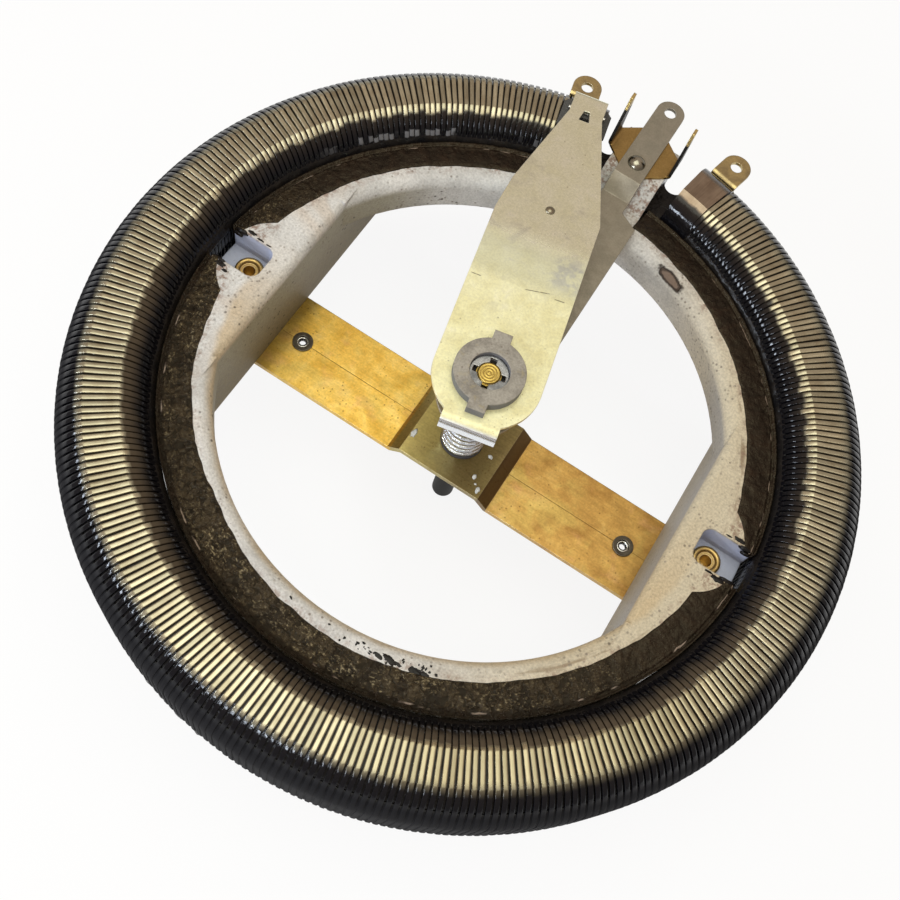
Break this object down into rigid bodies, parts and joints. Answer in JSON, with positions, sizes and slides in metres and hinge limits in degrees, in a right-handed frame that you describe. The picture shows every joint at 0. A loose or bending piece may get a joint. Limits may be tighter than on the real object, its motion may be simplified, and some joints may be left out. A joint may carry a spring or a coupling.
{
  "type": "rotary rheostat",
  "caption": "Large open-frame rotary rheostat: a resistance ribbon wound on a ceramic ring, a bridged ceramic base and a turning contact arm on a central shaft.",
  "frame": {"origin": "on the shaft axis, in the plane of the bridge strap's underside, midway between the two panel bolts", "axes": "+Z along the shaft away from the panel, towards the contact arm; +X along the bridge strap; +Y towards the terminals"},
  "size_m": [0.3048, 0.3173, 0.123],
  "materials": {
    "base_ceramic": "matte",
    "core_ceramic": "matte",
    "winding": "satin",
    "enamel": "satin",
    "end_band": "satin",
    "terminal_brass": "satin",
    "stop_brass": "satin",
    "collector_steel": "satin",
    "chromate_steel": "satin",
    "rivet_brass": "satin",
    "insert_steel": "satin",
    "bronze": "satin",
    "fibre": "matte",
    "insulator": "matte",
    "spring_steel": "polished",
    "shaft_steel": "satin",
    "clip_steel": "satin",
    "hub_ceramic": "matte",
    "star_steel": "polished",
    "zinc_steel": "satin",
    "leaf_steel": "satin",
    "brush_carbon": "matte"
  },
  "bodies": {
    "frame": {"ceramic_base": "base_ceramic", "winding_core": "core_ceramic", "resistance_winding": "winding", "enamel_bond": "enamel", "end_band_left": "end_band", "end_band_right": "end_band", "end_terminal_left": "terminal_brass", "end_terminal_right": "terminal_brass", "stop_plate": "stop_brass", "plate_screw": "insert_steel", "plate_insert": "terminal_brass", "gap_enamel": "enamel", "collector_blade": "collector_steel", "collector_rivet": "star_steel", "bridge_strap": "chromate_steel", "strap_rivets": "rivet_brass", "mounting_inserts": "insert_steel", "shaft_bushing": "bronze", "bushing_nut": "terminal_brass", "bushing_lockwasher": "spring_steel", "spring_seat": "fibre", "compression_spring": "spring_steel", "insulating_washer": "insulator"},
    "rotor": {"shaft": "shaft_steel", "shaft_clip": "clip_steel", "arm_hub": "hub_ceramic", "star_ring": "star_steel", "contact_arm": "zinc_steel", "slip_ring": "terminal_brass", "pressure_leaf": "leaf_steel", "arm_rivet": "star_steel", "contact_brush": "brush_carbon", "brush_pin": "star_steel"}
  },
  "joints": [
    {"name": "arm_turn", "type": "hinge", "parent": "frame", "child": "rotor", "pos_m": [0, 0, 0], "axis": [0, 0, 1], "range_deg": [-0.7, 336.3]}
  ]
}
